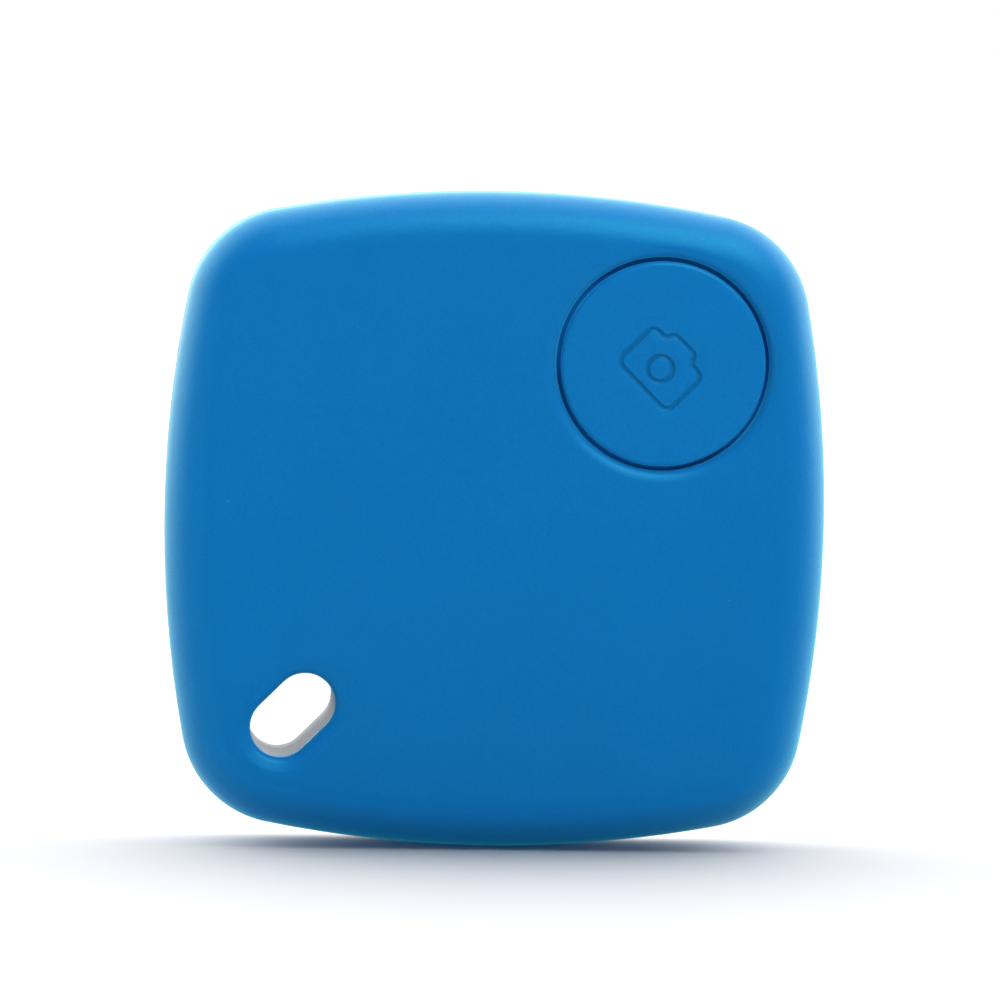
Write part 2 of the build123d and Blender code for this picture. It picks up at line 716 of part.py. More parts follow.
PIECES = [
    front_cover,
    inner_frame,
    back_cover,
    battery_door,
    door_seal,
    button_cap,
    switch_body,
    switch_cover,
    switch_plunger,
    switch_dome,
    coin_cell_can,
    coin_cell_gasket,
    coin_cell_cap,
    cell_holder,
    positive_contact,
    negative_contact,
    insulating_film,
    circuit_board,
    bluetooth_chip,
    main_crystal,
    clock_crystal,
    chip_antenna,
    boost_inductor,
    driver_transistor,
    status_led,
    capacitors,
    resistors,
    board_screws,
    buzzer_tape,
    buzzer_plate,
    buzzer_ceramic,
    buzzer_lead_red,
    buzzer_lead_black,
    solder_joints,
]

os.makedirs("parts", exist_ok=True)
for piece in PIECES:
    export_step(stand_up(piece()), f"parts/{piece.__name__}.step")
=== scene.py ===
import json
import math

import bmesh
import bpy
import numpy as np
from mathutils import Matrix, Quaternion, Vector
from mathutils.geometry import delaunay_2d_cdt


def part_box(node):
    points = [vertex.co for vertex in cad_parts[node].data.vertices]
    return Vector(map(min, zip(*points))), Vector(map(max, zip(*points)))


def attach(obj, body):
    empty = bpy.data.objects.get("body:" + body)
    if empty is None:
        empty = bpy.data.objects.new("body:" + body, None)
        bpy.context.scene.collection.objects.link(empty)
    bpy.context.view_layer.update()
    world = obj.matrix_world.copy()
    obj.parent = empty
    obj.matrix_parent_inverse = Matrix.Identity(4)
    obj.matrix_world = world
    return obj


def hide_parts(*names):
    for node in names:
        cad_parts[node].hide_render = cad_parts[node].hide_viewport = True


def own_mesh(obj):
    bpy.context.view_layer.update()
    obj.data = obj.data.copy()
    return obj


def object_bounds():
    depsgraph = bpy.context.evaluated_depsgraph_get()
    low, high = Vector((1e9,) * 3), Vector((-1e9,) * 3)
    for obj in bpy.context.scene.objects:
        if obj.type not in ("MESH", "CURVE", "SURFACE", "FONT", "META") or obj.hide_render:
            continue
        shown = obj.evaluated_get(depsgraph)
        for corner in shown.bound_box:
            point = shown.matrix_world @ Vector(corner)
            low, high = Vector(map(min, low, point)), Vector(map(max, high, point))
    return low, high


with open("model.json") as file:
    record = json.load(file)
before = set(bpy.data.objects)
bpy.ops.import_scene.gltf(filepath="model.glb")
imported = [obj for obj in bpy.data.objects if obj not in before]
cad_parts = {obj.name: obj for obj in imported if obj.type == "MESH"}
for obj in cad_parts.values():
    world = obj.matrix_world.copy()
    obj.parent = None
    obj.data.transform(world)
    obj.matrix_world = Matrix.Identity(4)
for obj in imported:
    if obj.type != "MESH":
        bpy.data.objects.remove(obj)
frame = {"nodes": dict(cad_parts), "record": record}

# Looks of the bluetooth tracker tag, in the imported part's frame: +X right, +Z up, front towards
# -Y. Sizes named here are in millimetres, and MM turns them into metres. Places come from the
# frame: the case from the whole part's box, the button and the slot from their node and mount.

MM = 0.001
cad_low, cad_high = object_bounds()

# ---- Sizes, in millimetres -------------------------------------------------------------------

HALF_WIDTH = (cad_high.x - cad_low.x) / 2 / MM
HALF_HEIGHT = (cad_high.z - cad_low.z) / 2 / MM
FRONT = cad_low.y / MM
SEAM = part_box("front_cover")[1].y / MM  # the blue shell's rear edge
SIDE_RADIUS = 68.7
CORNER_RADIUS = 6.1
FRONT_ROUND = 2.75
FRONT_WALL = 1.1
SIDE_WALL = 1.15
SEAM_ROUND = 0.14

SLOT_WIDTH = 3.44
SLOT_LENGTH = 5.4
SLOT_ANGLE = math.radians(45)
SLOT_CONE = (0.5, 0.35, 0.18)  # the mouth's shallow cone: its width, what is left inside it, drop

BUTTON_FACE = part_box("button_cap")[0].y / MM
BUTTON_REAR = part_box("button_cap")[1].y / MM
BUTTON_HOLE_RADIUS = 6.12
RIM_CONE = (0.2, 0.44, 0.06)  # the same for the rim of the button's hole
BUTTON_RADIUS = 5.88
BUTTON_EDGE_ROUND = 0.28
BUTTON_HOLLOW_RADIUS = 5.1
BUTTON_WALL = 0.9
FLANGE_RADIUS = 6.6
FLANGE_THICKNESS = 0.5
FLANGE_BEVEL = 0.1
BOSS_RADIUS = 1.0
BOSS_GAP = 0.02  # between the boss and the switch's plunger

DOME_SHEET = 0.06

SYMBOL_HALF_LINE = 0.16
SYMBOL_DEPTH = 0.12
SYMBOL_OFFSET = (-0.18, -0.27)  # from the button's middle to the lens
SYMBOL_ANGLE = math.radians(-45)
SYMBOL_HALF_WIDTH = 2.05
SYMBOL_HALF_HEIGHT = 1.45
SYMBOL_ROUND = 0.5
HUMP_FOOT = 1.1  # half the width of the symbol's hump where it leaves the body
HUMP_HALF_WIDTH = 0.78
HUMP_TOP = 2.0
HUMP_FOOT_ROUND = 0.28
HUMP_ROUND = 0.3
LENS_RADIUS = 0.73
# The groove's section from its edge to its middle: how far across and how deep, as shares.
GROOVE = ((1, 0), (0.82, 0.12), (0.62, 0.62), (0.42, 0.94), (0, 1))

# ---- How finely the shapes are divided -------------------------------------------------------

SIDE_STEPS = 40  # points along half of a bowed side
CORNER_STEPS = 28
CIRCLE_STEPS = 128
SLOT_ARC_STEPS = 32
SLOT_LINE_STEPS = 8
LENS_STEPS = 48
DOME_STEPS = 48
DOME_RINGS = 10
FRONT_BEND_STEPS = 14
SMALL_BEND_STEPS = 8
SEAM_BEND_STEPS = 5
LIP_STEPS = 9
CUT_RINGS = 7  # rings of the front rounding that the two lips can cut into
SYMBOL_SPACING = 0.3  # spacing of the points along the symbol's straight lines
EVEN = 1.2  # spacing of the points inside the front's flat area
BUTTON_EVEN = 0.7  # the same for the button's face outside the symbol
SMALL_EVEN = 0.5  # the same inside the symbol and on the boss
LENS_EVEN = 0.4
CLEAR = 0.14  # the least distance from a loose point to a border
MARGIN = 0.25  # flat ring beside each rounding, which keeps the face's shading even
LIP_SOFT = 0.12  # the share of a cone's width over which its borders turn
SAME_POINT = 1e-6

# ---- Colours, linear red, green and blue -----------------------------------------------------

PAINT = (0.001, 0.095, 0.32)
BUTTON_SHADE = 1.04  # the button's paint, as a share of the shell's
# The grooves' paint is darker than the button's: painted shade in the sunk lines.
SYMBOL_PAINTED_SHADE = 0.82
SHEEN_TINT = (0.08, 1.0, 0.95)
GLOSS_TINT = (0.1, 1.0, 0.97)
DUST = (0.3, 0.42, 0.52)
BARE_BLUE_PAINTED_BOUNCE = (0.002, 0.19, 0.62)  # unpainted plastic inside, made brighter than the paint as painted bounce light in the gaps
# The frame and back greys are darker and bluer than the light plastic: painted shade and blue bounce.
FRAME_PAINTED_SHADE_GREY = (0.15, 0.18, 0.22)
BACK_PAINTED_SHADE_GREY = (0.2, 0.225, 0.255)
FLOOR_COLOUR = (0.69, 0.695, 0.705)

# ---- Sizes of the marks in each material, in millimetres -------------------------------------

PAINT_GRAIN = 0.13
PAINT_CLOUDS = 7.0
PAINT_WAVES = 0.7
SPECK_SPACING = 2.6
MOULD_CLOUDS = 3.0
WORN_EDGE = 0.12
METAL_MARKS = 0.12
TARNISH = 1.6
BOARD_UNEVEN = 0.3
TRACK_LENGTH = 3.7
TRACK_SPACING = 0.9
TRACK_GAP = 0.07

# ---- Floor, light and camera -----------------------------------------------------------------

FLOOR_REACH = 20000
TENT_FRONT = 0.03  # brightness of the light tent behind the camera
TENT_SIDE = 5.0  # and at the sides of the tag
TENT_DARK = -0.36  # how far forwards the tent is dark, as a share of its radius
TENT_BRIGHT = 0.24  # and from where on it is bright
TENT_BACK_SHARE = 0.65  # brightness behind the tag, as a share of that at its sides
TENT_BACK = 0.8  # from where on that share holds
TENT_TOP_SHARE = 0.62  # brightness overhead, as a share of that at the same height as the tag
TENT_SEEN = 1.0  # brightness of the tent to the camera itself
SOFTBOX_DISTANCE = 1000
KEY_LIGHT = (28, 48, 800, 13.5)  # to the right and above in degrees, size, power in watts
FILL_LIGHT = (-20, -34, 2400, 20.0)
CAMERA_AZIMUTH = math.radians(-3.63)
CAMERA_ELEVATION = math.radians(3.96)
CAMERA_ROLL = math.radians(1.10)
CAMERA_DISTANCE = 400
CAMERA_LENS = 249.4
CAMERA_SENSOR = 36
CAMERA_AIM = (-0.33, -1.05)  # where the tag's middle lies from the view's axis


def middle_of(node):
    """The middle of a CAD node's box in the front view, in millimetres."""
    low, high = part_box(node)
    return ((low.x + high.x) / 2 / MM, (low.z + high.z) / 2 / MM)


def mount_place(name):
    """A mount's place in the front view, in millimetres."""
    mount = next(m for m in frame["record"]["mounts"] if m["name"] == name)
    return (mount["pos_m"][0] / MM, mount["pos_m"][2] / MM)


BUTTON_CENTRE = middle_of("button_cap")
SLOT_CENTRE = mount_place("key_ring_slot")


# ---- Closed outlines in the front view: lists of (x, z) in millimetres, counter-clockwise ------


def case_arcs():
    """The upper right quarter of the outline: each arc's centre, radius and end angles."""
    side_middle = HALF_WIDTH - SIDE_RADIUS
    top_middle = HALF_HEIGHT - SIDE_RADIUS
    apart = math.hypot(side_middle, top_middle)
    climb = math.sqrt((SIDE_RADIUS - CORNER_RADIUS) ** 2 - (apart / 2) ** 2)
    corner_x = side_middle / 2 - climb * top_middle / apart
    corner_z = top_middle / 2 - climb * side_middle / apart
    low = math.atan2(corner_z, corner_x - side_middle)
    high = math.atan2(corner_z - top_middle, corner_x)
    return (
        ((side_middle, 0), SIDE_RADIUS, 0, low),
        ((corner_x, corner_z), CORNER_RADIUS, low, high),
        ((0, top_middle), SIDE_RADIUS, high, math.pi / 2),
    )


def case_outline(inset):
    """The tag's outline, moved inwards by inset: four bowed sides and four corner arcs."""
    quarter = []
    for (x, z), radius, start, end in case_arcs():
        steps = CORNER_STEPS if radius == CORNER_RADIUS else SIDE_STEPS
        for k in range(steps):
            turn = start + (end - start) * k / steps
            reach = radius - inset
            quarter.append((x + reach * math.cos(turn), z + reach * math.sin(turn)))
    quarter.append((0, HALF_HEIGHT - inset))
    half = quarter + [(-x, z) for x, z in reversed(quarter[:-1])]
    return half + [(x, -z) for x, z in reversed(half[1:-1])]


def case_inset(point):
    """How far a point lies inside the tag's outline."""
    x, z = abs(point[0]), abs(point[1])
    for (middle_x, middle_z), radius, start, end in case_arcs():
        if start <= math.atan2(z - middle_z, x - middle_x) <= end:
            return radius - math.hypot(x - middle_x, z - middle_z)
    return HALF_HEIGHT


def front_depth(point):
    """Where the front surface lies at a point: flat inside, rounded off near the outline."""
    into = max(FRONT_ROUND - case_inset(point), 0)
    return FRONT + FRONT_ROUND - math.sqrt(FRONT_ROUND**2 - min(into, FRONT_ROUND) ** 2)


def circle(centre, radius, steps=CIRCLE_STEPS):
    """A round outline."""
    turns = [2 * math.pi * k / steps for k in range(steps)]
    return [(centre[0] + radius * math.cos(a), centre[1] + radius * math.sin(a)) for a in turns]


def slot_outline(grow):
    """The key-ring slot's outline, made wider by grow all round."""
    radius = SLOT_WIDTH / 2 + grow
    reach = (SLOT_LENGTH - SLOT_WIDTH) / 2
    along = Vector((math.cos(SLOT_ANGLE), math.sin(SLOT_ANGLE)))
    across = Vector((-along.y, along.x))
    points = []
    for end in (along, -along):
        side = across if end == along else -across
        for k in range(SLOT_ARC_STEPS):
            turn = math.pi * k / SLOT_ARC_STEPS
            points.append(end * reach + (end * math.sin(turn) - side * math.cos(turn)) * radius)
        for k in range(SLOT_LINE_STEPS):
            points.append(end * reach * (1 - 2 * k / SLOT_LINE_STEPS) + side * radius)
    return [(SLOT_CENTRE[0] + p.x, SLOT_CENTRE[1] + p.y) for p in points]


def rounded_line(corners, spacing):
    """A closed line through corners of (x, z, radius): a list of (point, outward normal)."""
    bends = []
    for k, (x, z, radius) in enumerate(corners):
        here = Vector((x, z))
        before = (Vector(corners[k - 1][:2]) - here).normalized()
        after = (Vector(corners[(k + 1) % len(corners)][:2]) - here).normalized()
        half = before.angle(after) / 2
        middle = here + (before + after).normalized() * radius / math.sin(half)
        reach = radius / math.tan(half)
        bends.append((here + before * reach, here + after * reach, middle))
    samples = []
    for k, (start, end, middle) in enumerate(bends):
        first, last = start - middle, end - middle
        turn = math.atan2(first.cross(last), first.dot(last))
        for i in range(SMALL_BEND_STEPS + 1):
            spoke = Matrix.Rotation(turn * i / SMALL_BEND_STEPS, 2) @ first
            samples.append((middle + spoke, spoke.normalized() * math.copysign(1, turn)))
        stretch = bends[(k + 1) % len(bends)][0] - end
        normal = Vector((stretch.y, -stretch.x)).normalized()
        pieces = max(1, round(stretch.length / spacing))
        for i in range(1, pieces):
            samples.append((end + stretch * i / pieces, normal))
    return samples


def symbol_lines():
    """The camera symbol's two lines, the body with its hump and the lens, in place."""
    right = (
        (SYMBOL_HALF_WIDTH, -SYMBOL_HALF_HEIGHT, SYMBOL_ROUND),
        (SYMBOL_HALF_WIDTH, SYMBOL_HALF_HEIGHT, SYMBOL_ROUND),
        (HUMP_FOOT, SYMBOL_HALF_HEIGHT, HUMP_FOOT_ROUND),
        (HUMP_HALF_WIDTH, HUMP_TOP, HUMP_ROUND),
    )
    left = [(-x, z, radius) for x, z, radius in reversed(right)]
    body = rounded_line([*right, *left], SYMBOL_SPACING)
    spokes = [Vector(p) for p in circle((0, 0), 1, LENS_STEPS)]
    lens = [(spoke * LENS_RADIUS, spoke) for spoke in spokes]
    turn = Matrix.Rotation(SYMBOL_ANGLE, 2)
    middle = Vector(BUTTON_CENTRE) + Vector(SYMBOL_OFFSET)
    return [[(middle + turn @ p, turn @ n) for p, n in line] for line in (body, lens)]


# ---- Mesh building ---------------------------------------------------------------------------


def ring(mesh, outline, y):
    """A loop of points of an outline at the depth y."""
    return [mesh.verts.new((p[0] * MM, y * MM, p[1] * MM)) for p in outline]


def bridge(mesh, first, second):
    """Joins two loops of as many points with quads."""
    for k in range(len(first)):
        n = (k + 1) % len(first)
        mesh.faces.new((first[k], first[n], second[n], second[k]))


def sweep(mesh, steps):
    """Joins (outline, depth) loops in turn with quads. Gives back the first and last loop."""
    loops = [ring(mesh, outline, y) for outline, y in steps]
    for first, second in zip(loops, loops[1:]):
        bridge(mesh, first, second)
    return loops[0], loops[-1]


def extend(mesh, loop, y):
    """Carries a loop straight on to the depth y and gives back its end."""
    end = [mesh.verts.new((v.co.x, y * MM, v.co.z)) for v in loop]
    bridge(mesh, loop, end)
    return end


def bend(steps):
    """A quarter round: pairs that rise from 0 to 1 and fall from 1 to 0, leaving at a tangent."""
    for k in range(steps + 1):
        turn = math.pi / 2 * k / steps
        yield 1 - math.cos(turn), 1 - math.sin(turn)


def lip(width, left, drop):
    """An opening's lip: (reach, depth) from the flat, down a shallow cone, round into the hole."""
    slope = math.atan2(drop, width)
    radius = left / (1 - math.sin(slope))
    soft = LIP_SOFT * width
    yield width + left + MARGIN, 0
    yield width + left, 0
    yield width + left - soft, soft * math.tan(slope) / 2
    yield left + soft, drop - soft * math.tan(slope)
    for k in range(LIP_STEPS + 1):
        turn = slope + (math.pi / 2 - slope) * k / LIP_STEPS
        yield radius * (1 - math.sin(turn)), drop + radius * (math.cos(slope) - math.cos(turn))


def inside(points, loop):
    """For each point, whether it lies inside a closed loop."""
    x, z = points[:, 0], points[:, 1]
    result = np.zeros(len(points), bool)
    for (x0, z0), (x1, z1) in zip(loop, np.roll(loop, -1, axis=0)):
        if z0 != z1:
            crosses = (z0 > z) != (z1 > z)
            result ^= crosses & (x < (x1 - x0) * (z - z0) / (z1 - z0) + x0)
    return result


def fill(mesh, outer, holes, level, spacing=EVEN, loose=()):
    """Closes the area between an outer loop and its holes with even triangles.

    Even points cover the flat part of the area, at the depth level. Loose points, given as
    (x, y, z), join it too, so that it can run on into a rounding.
    """
    loops = [np.array([(v.co.x, v.co.z) for v in loop]) / MM for loop in (outer, *holes)]
    verts = [v for loop in (outer, *holes) for v in loop]
    edges = []
    for loop in loops:
        first = len(edges)
        edges += [(first + k, first + (k + 1) % len(loop)) for k in range(len(loop))]
    border = np.vstack(loops)

    def wanted(points):
        """For each point, whether it lies in the area."""
        keep = inside(points, loops[0])
        for loop in loops[1:]:
            keep &= ~inside(points, loop)
        return keep

    (left, low), (right, high) = border.min(axis=0), border.max(axis=0)
    points = list(loose)
    for z in np.arange(low, high, spacing):
        for x in np.arange(left, right, spacing):
            if case_inset((x, z)) > FRONT_ROUND + EVEN / 2:
                points.append((x, level, z))
    points = np.array(points)
    flat = points[:, ::2]
    gap = np.linalg.norm(flat[:, None] - border[None], axis=2).min(axis=1)
    needed = np.where(np.arange(len(points)) < len(loose), CLEAR, spacing / 3)
    points = points[wanted(flat) & (gap > needed)]
    verts += [mesh.verts.new(p * MM) for p in points]
    corners = [Vector(p) for p in np.vstack([border, points[:, ::2]])]
    corners, _, faces, sources, _, _ = delaunay_2d_cdt(corners, edges, [], 0, SAME_POINT)
    middles = np.array([np.mean([corners[i] for i in face], axis=0) for face in faces])
    for face, keep in zip(faces, wanted(middles)):
        if keep:
            mesh.faces.new([verts[sources[i][0]] for i in face])


def finish_piece(mesh, name, materials, body, node):
    """Turns a built mesh into a shaded piece that rides on a body in place of a CAD node."""
    bmesh.ops.recalc_face_normals(mesh, faces=mesh.faces)
    data = bpy.data.meshes.new(name)
    mesh.to_mesh(data)
    mesh.free()
    data.polygons.foreach_set("use_smooth", [True] * len(data.polygons))
    for material in materials:
        data.materials.append(material)
    piece = bpy.data.objects.new(name, data)
    bpy.context.scene.collection.objects.link(piece)
    even_normals(piece)
    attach(piece, body)
    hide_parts(node)
    return piece


def even_normals(piece):
    """Large flat faces keep their own direction where they run into a rounding."""
    normals = piece.modifiers.new("even_normals", "WEIGHTED_NORMAL")
    normals.mode = "FACE_AREA"
    normals.keep_sharp = True


# ---- Built pieces ----------------------------------------------------------------------------


def tint_faces(mesh, first, index):
    """Gives the faces made since the first one the material at index."""
    mesh.faces.ensure_lookup_table()
    for face in mesh.faces[first:]:
        face.material_index = index


def front_cover(paint, bare_painted_bounce):
    """The blue shell: sides, rounding, flat face, rolled button hole and slot mouth."""
    mesh = bmesh.new()
    floor = FRONT + FRONT_WALL
    inner = FRONT_ROUND - SIDE_WALL
    rounding = []
    for rise, fall in bend(FRONT_BEND_STEPS):
        rounding.append((case_outline(FRONT_ROUND * rise), FRONT + FRONT_ROUND * fall))
    walls = []
    for rise, fall in reversed(list(bend(SMALL_BEND_STEPS))):
        walls.append((case_outline(SIDE_WALL + inner * rise), floor + inner * fall))
    walls.append((case_outline(SIDE_WALL), SEAM))
    for rise, fall in bend(SEAM_BEND_STEPS):
        walls.append((case_outline(SEAM_ROUND * fall), SEAM - SEAM_ROUND * rise))
    walls += rounding[:-CUT_RINGS]
    inner_edge, outer_edge = sweep(mesh, walls)

    lips_from = len(mesh.verts)
    rim = [(circle(BUTTON_CENTRE, BUTTON_HOLE_RADIUS + r), FRONT + d) for r, d in lip(*RIM_CONE)]
    mouth = [(slot_outline(reach), FRONT + depth) for reach, depth in lip(*SLOT_CONE)]
    rim_front, rim_rear = sweep(mesh, rim)
    mouth_front, mouth_rear = sweep(mesh, mouth)
    mesh.verts.ensure_lookup_table()
    for vert in mesh.verts[lips_from:]:
        vert.co.y += (front_depth((vert.co.x / MM, vert.co.z / MM)) - FRONT) * MM

    cut = rounding[-CUT_RINGS:] + [(case_outline(FRONT_ROUND + MARGIN), FRONT)]
    loose = [(x, y, z) for outline, y in cut for x, z in outline]
    fill(mesh, outer_edge, (rim_front, mouth_front), FRONT, loose=loose)
    inside_from = len(mesh.faces)
    rim_floor = extend(mesh, rim_rear, floor)
    mouth_floor = extend(mesh, mouth_rear, floor)
    fill(mesh, inner_edge, (rim_floor, mouth_floor), floor)
    # The hole walls and the inside take the bare plastic, whose brighter blue is painted bounce
    # light.
    tint_faces(mesh, inside_from, 1)
    return finish_piece(mesh, "front_cover_shell", [paint, bare_painted_bounce], "case", "front_cover")


def groove(mesh, line):
    """A soft-edged groove along a closed line in the button's face: its outer and inner edge."""
    far_side = [(-across, depth) for across, depth in reversed(GROOVE[:-1])]
    steps = []
    for across, depth in (*GROOVE, *far_side):
        outline = [p + n * across * SYMBOL_HALF_LINE for p, n in line]
        steps.append((outline, BUTTON_FACE + SYMBOL_DEPTH * depth))
    return sweep(mesh, steps)


def button_cap(paint, bare_painted_bounce, symbol):
    """The round button, with the camera symbol sunk in its face and a flange behind."""
    mesh = bmesh.new()
    underside = BUTTON_FACE + BUTTON_WALL
    boss_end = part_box("switch_plunger")[0].y / MM - BOSS_GAP
    rounding = []
    for rise, fall in bend(SMALL_BEND_STEPS):
        edge = BUTTON_RADIUS - BUTTON_EDGE_ROUND * fall
        rounding.append((circle(BUTTON_CENTRE, edge), BUTTON_FACE + BUTTON_EDGE_ROUND * rise))
    face_edge, side_edge = sweep(mesh, rounding)
    side_from = len(mesh.faces)
    flange_front = BUTTON_REAR - FLANGE_THICKNESS
    side = extend(mesh, side_edge, flange_front)
    turned = (
        (FLANGE_RADIUS - FLANGE_BEVEL, flange_front),
        (FLANGE_RADIUS, flange_front + FLANGE_BEVEL),
        (FLANGE_RADIUS, BUTTON_REAR - FLANGE_BEVEL),
        (FLANGE_RADIUS - FLANGE_BEVEL, BUTTON_REAR),
        (BUTTON_HOLLOW_RADIUS, BUTTON_REAR),
        (BUTTON_HOLLOW_RADIUS, underside),
        (BOSS_RADIUS, underside),
        (BOSS_RADIUS, boss_end),
    )
    behind = [(circle(BUTTON_CENTRE, radius), y) for radius, y in turned]
    flange_edge, boss_edge = sweep(mesh, behind)
    bridge(mesh, side, flange_edge)
    fill(mesh, boss_edge, (), boss_end, SMALL_EVEN)
    # The button's side takes the bare plastic, whose brighter blue is painted bounce light in the
    # gap.
    tint_faces(mesh, side_from, 1)
    symbol_from = len(mesh.faces)
    body, lens = [groove(mesh, line) for line in symbol_lines()]
    # The symbol's grooves take the darker paint, painted shade in the sunk lines.
    tint_faces(mesh, symbol_from, 2)
    fill(mesh, face_edge, (body[0],), BUTTON_FACE, BUTTON_EVEN)
    fill(mesh, body[1], (lens[0],), BUTTON_FACE, SMALL_EVEN)
    fill(mesh, lens[1], (), BUTTON_FACE, LENS_EVEN)
    return finish_piece(mesh, "button_cap_disc", [paint, bare_painted_bounce, symbol], "button", "button_cap")


def snap_dome(steel):
    """The switch's thin dome, part of a hollow ball, which flattens as the plunger is pressed."""
    low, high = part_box("switch_dome")
    centre = middle_of("switch_dome")
    rise = (high.y - low.y) / MM
    reach = (high.x - low.x) / 2 / MM
    ball = (reach**2 + rise**2) / (2 * rise)
    middle = low.y / MM + ball
    mesh = bmesh.new()
    feet = []
    for radius in (ball, ball - DOME_SHEET):
        widest = math.acos((ball - rise) / radius)
        steps = []
        for k in range(1, DOME_RINGS + 1):
            turn = widest * k / DOME_RINGS
            outline = circle(centre, radius * math.sin(turn), DOME_STEPS)
            steps.append((outline, middle - radius * math.cos(turn)))
        crown, foot = sweep(mesh, steps)
        mesh.faces.new(crown)
        feet.append(foot)
    bridge(mesh, *feet)
    piece = finish_piece(mesh, "switch_dome_leaf", [steel], "case", "switch_dome")
    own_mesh(piece)
    return piece


# ---- Materials -------------------------------------------------------------------------------


class Shader:
    """A node material built round one Principled shader, in millimetres of the object's space."""

    def __init__(self, name):
        self.material = bpy.data.materials.new(name)
        self.material.use_nodes = True
        self.tree = self.material.node_tree
        self.shader = self.tree.nodes["Principled BSDF"]
        place = self.tree.nodes.new("ShaderNodeTexCoord")
        scale = self.add("ShaderNodeVectorMath", operation="SCALE")
        self.link(place.outputs["Object"], scale.inputs[0])
        scale.inputs["Scale"].default_value = 1 / MM
        self.place = scale.outputs[0]
        self.height = None

    def add(self, kind, **settings):
        """A new node, with its own settings."""
        node = self.tree.nodes.new(kind)
        for key, value in settings.items():
            setattr(node, key, value)
        return node

    def link(self, output, socket):
        """Feeds one node's output into another's socket."""
        self.tree.links.new(output, socket)

    def noise(self, size, detail=3.0):
        """Cloudy values round 0.5, with features about size millimetres wide."""
        node = self.add("ShaderNodeTexNoise")
        self.link(self.place, node.inputs["Vector"])
        node.inputs["Scale"].default_value = 1 / size
        node.inputs["Detail"].default_value = detail
        node.inputs["Roughness"].default_value = 0.55
        return node.outputs["Fac"]

    def cells(self, size):
        """The distance to the nearest of scattered points, size millimetres apart."""
        node = self.add("ShaderNodeTexVoronoi", feature="F1")
        self.link(self.place, node.inputs["Vector"])
        node.inputs["Scale"].default_value = 1 / size
        return node.outputs["Distance"]

    def edges(self, reach):
        """Values of 1 on sharp edges, falling to 0 within about reach millimetres."""
        bevel = self.add("ShaderNodeBevel", samples=4)
        bevel.inputs["Radius"].default_value = reach * MM
        geometry = self.add("ShaderNodeNewGeometry")
        match = self.add("ShaderNodeVectorMath", operation="DOT_PRODUCT")
        self.link(bevel.outputs["Normal"], match.inputs[0])
        self.link(geometry.outputs["Normal"], match.inputs[1])
        return self.spread(match.outputs["Value"], 1, 0, 0.85, 0.99)

    def spread(self, value, low, high, start=0.3, end=0.7):
        """A value mapped from start..end to low..high."""
        node = self.add("ShaderNodeMapRange", clamp=True)
        self.link(value, node.inputs["Value"])
        settings = (("From Min", start), ("From Max", end), ("To Min", low), ("To Max", high))
        for key, number in settings:
            node.inputs[key].default_value = number
        return node.outputs["Result"]

    def mix(self, share, first, second):
        """A colour between two, by a share that is another node's output."""
        node = self.add("ShaderNodeMix", data_type="RGBA")
        self.link(share, node.inputs[0])
        for socket, colour in ((node.inputs[6], first), (node.inputs[7], second)):
            if isinstance(colour, tuple):
                socket.default_value = (*colour, 1)
            else:
                self.link(colour, socket)
        return node.outputs[2]

    def bump(self, value, depth):
        """Raises the surface by up to depth millimetres where the value is high."""
        node = self.add("ShaderNodeBump")
        node.inputs["Distance"].default_value = depth * MM
        self.link(value, node.inputs["Height"])
        if self.height:
            self.link(self.height, node.inputs["Normal"])
        self.height = node.outputs["Normal"]
        self.link(self.height, self.shader.inputs["Normal"])

    def set(self, **values):
        """Sets the shader's inputs, named with _ for a space, to numbers, colours or outputs."""
        for key, value in values.items():
            socket = self.shader.inputs[key.replace("_", " ")]
            if isinstance(value, tuple):
                socket.default_value = (*value, 1)
            elif isinstance(value, (int, float)):
                socket.default_value = value
            else:
                self.link(value, socket)


def shade(colour, factor):
    """A colour made lighter or darker."""
    return tuple(min(1.0, c * factor) for c in colour)


def soft_touch(name, colour):
    """Matt rubbery paint with fine grain, faint clouds and a few specks of dust."""
    s = Shader(name)
    grain = s.noise(PAINT_GRAIN, detail=2.0)
    clouds = s.spread(s.noise(PAINT_CLOUDS), 0, 1)
    base = s.mix(clouds, shade(colour, 0.97), shade(colour, 1.03))
    base = s.mix(s.spread(grain, 0, 0.5), base, shade(colour, 0.7))
    speck = s.spread(s.cells(SPECK_SPACING), 0.6, 0, 0.006, 0.016)
    base = s.mix(speck, base, DUST)
    s.bump(grain, 0.009)
    s.bump(s.noise(PAINT_WAVES, detail=1.0), 0.01)
    s.set(Base_Color=base, Roughness=s.spread(grain, 0.38, 0.46))
    s.set(Specular_IOR_Level=0.35, Specular_Tint=GLOSS_TINT)
    s.set(Sheen_Weight=0.35, Sheen_Roughness=0.5, Sheen_Tint=SHEEN_TINT)
    return s.material


def moulded(name, colour, rough=0.55, grain_size=0.16, depth=0.006, shine=0.2):
    """Moulded plastic with a spark-eroded texture, faint clouds and paler worn edges."""
    s = Shader(name)
    grain = s.noise(grain_size, detail=2.0)
    clouds = s.spread(s.noise(MOULD_CLOUDS), 0, 1)
    base = s.mix(clouds, shade(colour, 0.95), shade(colour, 1.04))
    base = s.mix(s.spread(grain, 0, 0.35), base, shade(colour, 0.86))
    worn = s.edges(WORN_EDGE)
    base = s.mix(s.spread(worn, 0, 0.35, 0, 1), base, shade(colour, 1.25))
    s.bump(grain, depth)
    s.set(Base_Color=base, Roughness=s.spread(grain, rough - 0.05, rough + 0.08))
    s.set(Specular_IOR_Level=shine)
    return s.material


